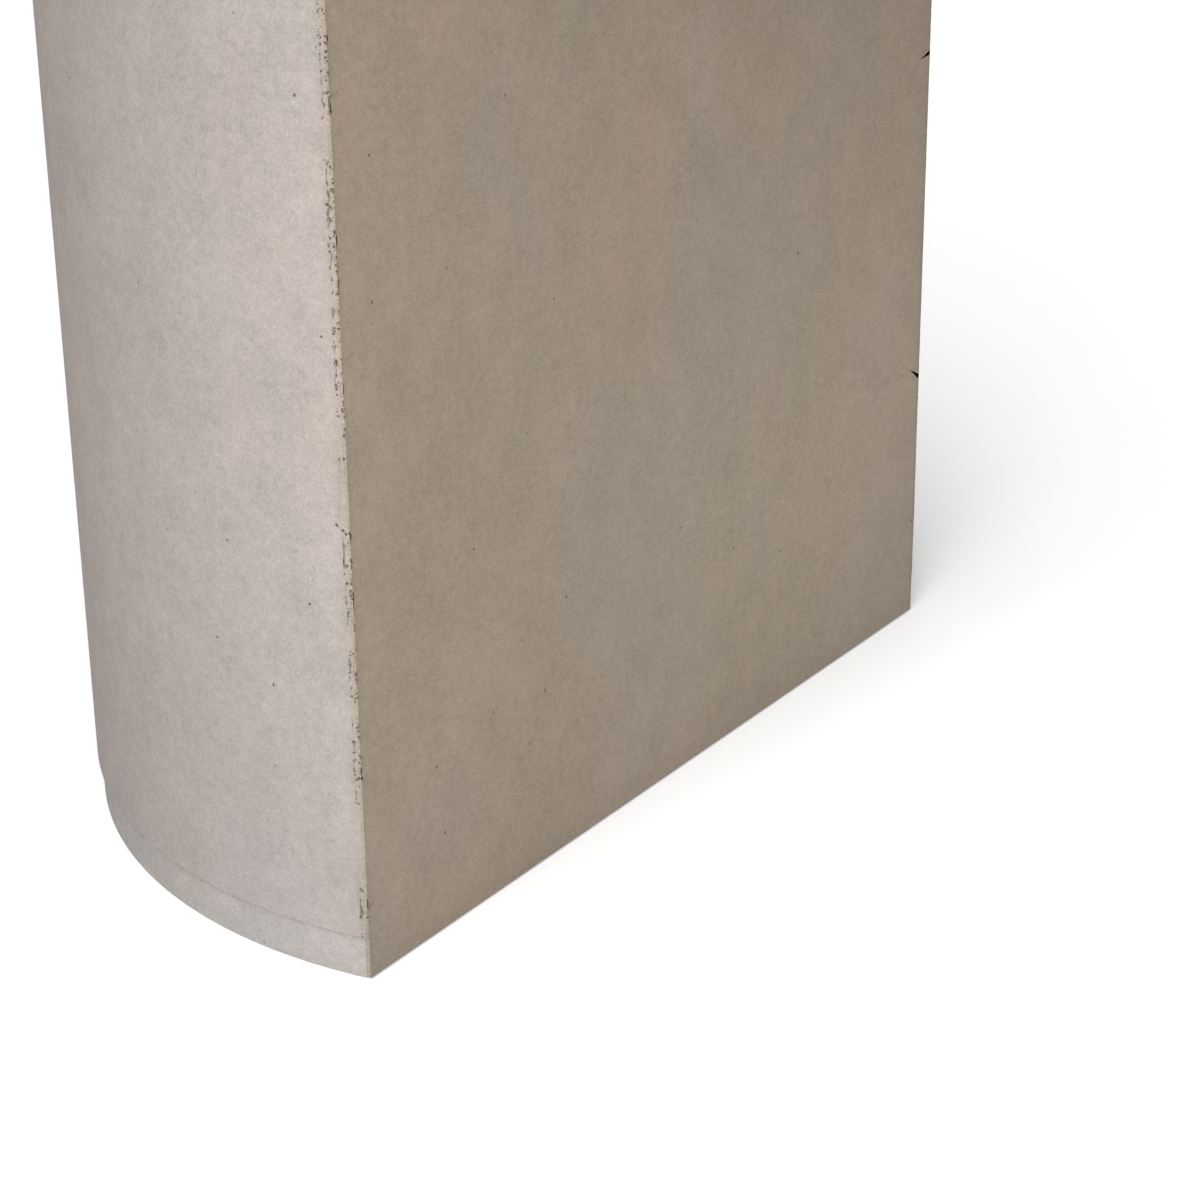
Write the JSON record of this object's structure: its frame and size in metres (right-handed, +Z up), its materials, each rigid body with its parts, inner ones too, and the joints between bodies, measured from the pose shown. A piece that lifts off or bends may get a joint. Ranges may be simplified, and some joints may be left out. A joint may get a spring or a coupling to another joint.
{
  "type": "concrete table pedestal",
  "caption": "Hollow cast-concrete table pedestal, D-shaped in plan: flat face, curved side with a shallow recessed toe, closed deck with threaded sockets, levelling feet.",
  "frame": {"origin": "on the floor, in the middle of the footprint", "axes": "+Z up, flat face towards -Y, curved side towards +Y, left and right alike about X = 0"},
  "size_m": [0.6158, 0.3777, 0.71],
  "materials": {
    "cast_concrete": "matte",
    "toe_concrete": "matte",
    "backing_concrete": "matte",
    "frame_steel": "satin",
    "socket_steel": "satin",
    "zinc_steel": "satin",
    "foot_plastic": "matte"
  },
  "bodies": {
    "root": {"curved_shell": "cast_concrete", "toe_band": "toe_concrete", "face_panel": "cast_concrete", "top_deck": "cast_concrete", "corner_bond_left": "backing_concrete", "corner_bond_right": "backing_concrete", "round_bond_pads": "backing_concrete", "face_bond_pads": "backing_concrete", "post_front_left": "frame_steel", "post_front_right": "frame_steel", "post_back_left": "frame_steel", "post_back_right": "frame_steel", "base_rail_front": "frame_steel", "base_rail_back": "frame_steel", "base_rail_left": "frame_steel", "base_rail_right": "frame_steel", "top_rail_front": "frame_steel", "top_rail_back": "frame_steel", "top_rail_left": "frame_steel", "top_rail_right": "frame_steel", "round_anchors": "frame_steel", "face_anchors": "frame_steel", "foot_plate_front_left": "frame_steel", "foot_plate_front_right": "frame_steel", "foot_plate_back_left": "frame_steel", "foot_plate_back_right": "frame_steel", "top_sockets": "socket_steel", "jam_nut_front_left": "zinc_steel", "jam_nut_front_right": "zinc_steel", "jam_nut_back_left": "zinc_steel", "jam_nut_back_right": "zinc_steel"},
    "pad_front_left": {"foot_pad_front_left": "foot_plastic"},
    "stem_front_left": {"foot_stem_front_left": "zinc_steel"},
    "pad_front_right": {"foot_pad_front_right": "foot_plastic"},
    "stem_front_right": {"foot_stem_front_right": "zinc_steel"},
    "pad_back_left": {"foot_pad_back_left": "foot_plastic"},
    "stem_back_left": {"foot_stem_back_left": "zinc_steel"},
    "pad_back_right": {"foot_pad_back_right": "foot_plastic"},
    "stem_back_right": {"foot_stem_back_right": "zinc_steel"}
  },
  "joints": [
    {"name": "foot_travel_front_left", "type": "slide", "parent": "root", "child": "pad_front_left", "axis": [0, 0, -1], "range_m": [0, 0.012]},
    {"name": "stem_turn_front_left", "type": "hinge", "parent": "pad_front_left", "child": "stem_front_left", "pos_m": [-0.175, -0.13837, 0], "axis": [0, 0, -1], "range_deg": [0, 2880.01]},
    {"name": "foot_travel_front_right", "type": "slide", "parent": "root", "child": "pad_front_right", "axis": [0, 0, -1], "range_m": [0, 0.012]},
    {"name": "stem_turn_front_right", "type": "hinge", "parent": "pad_front_right", "child": "stem_front_right", "pos_m": [0.175, -0.13837, 0], "axis": [0, 0, -1], "range_deg": [0, 2880.01]},
    {"name": "foot_travel_back_left", "type": "slide", "parent": "root", "child": "pad_back_left", "axis": [0, 0, -1], "range_m": [0, 0.012]},
    {"name": "stem_turn_back_left", "type": "hinge", "parent": "pad_back_left", "child": "stem_back_left", "pos_m": [-0.175, 0.06286, 0], "axis": [0, 0, -1], "range_deg": [0, 2880.01]},
    {"name": "foot_travel_back_right", "type": "slide", "parent": "root", "child": "pad_back_right", "axis": [0, 0, -1], "range_m": [0, 0.012]},
    {"name": "stem_turn_back_right", "type": "hinge", "parent": "pad_back_right", "child": "stem_back_right", "pos_m": [0.175, 0.06286, 0], "axis": [0, 0, -1], "range_deg": [0, 2880.01]}
  ],
  "couplings": [
    {"joint": "stem_turn_front_left", "follows": "foot_travel_front_left", "rad_per_m": 4188.8},
    {"joint": "stem_turn_front_right", "follows": "foot_travel_front_right", "rad_per_m": 4188.8},
    {"joint": "stem_turn_back_left", "follows": "foot_travel_back_left", "rad_per_m": 4188.8},
    {"joint": "stem_turn_back_right", "follows": "foot_travel_back_right", "rad_per_m": 4188.8}
  ]
}
